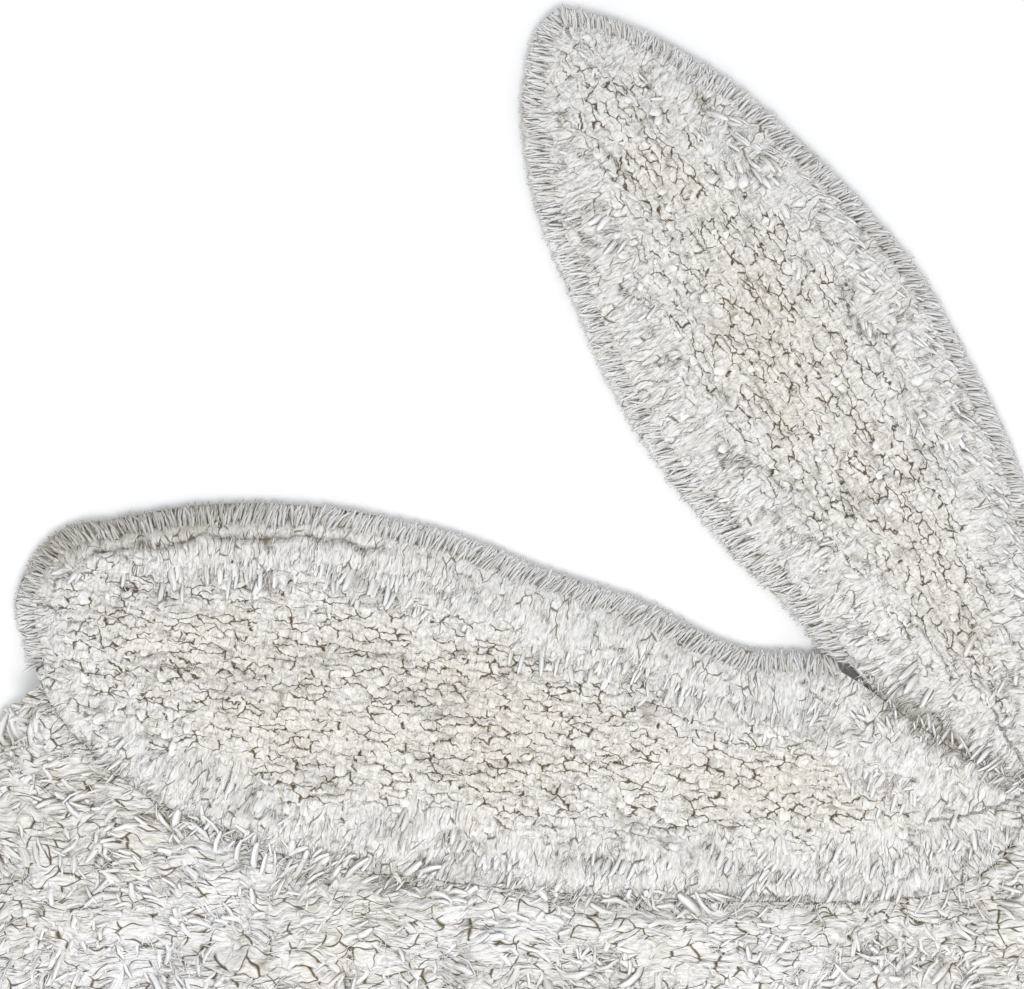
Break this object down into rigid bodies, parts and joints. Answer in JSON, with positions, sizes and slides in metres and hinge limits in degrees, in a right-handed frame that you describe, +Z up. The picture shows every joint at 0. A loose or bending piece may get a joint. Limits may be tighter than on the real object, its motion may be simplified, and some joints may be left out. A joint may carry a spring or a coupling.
{
  "type": "rabbit-shaped shag rug",
  "caption": "Off-white shag floor rug in the outline of a rabbit seen from the side, with two plush ears laid back.",
  "frame": {"origin": "centre of the rug's underside, in the middle of its bounding box", "axes": "+X towards the rabbit's nose, +Y towards the tip of the upright ear, +Z up out of the pile"},
  "size_m": [1.0759, 0.9187, 0.037],
  "materials": {
    "ear_plush": "dense cut cotton pile, ivory with warm grey hollows",
    "body_shag": "long loose cotton shag, off-white"
  },
  "bodies": {
    "root": {"body": "body_shag", "near_ear": "ear_plush", "far_ear": "ear_plush"}
  },
  "joints": []
}
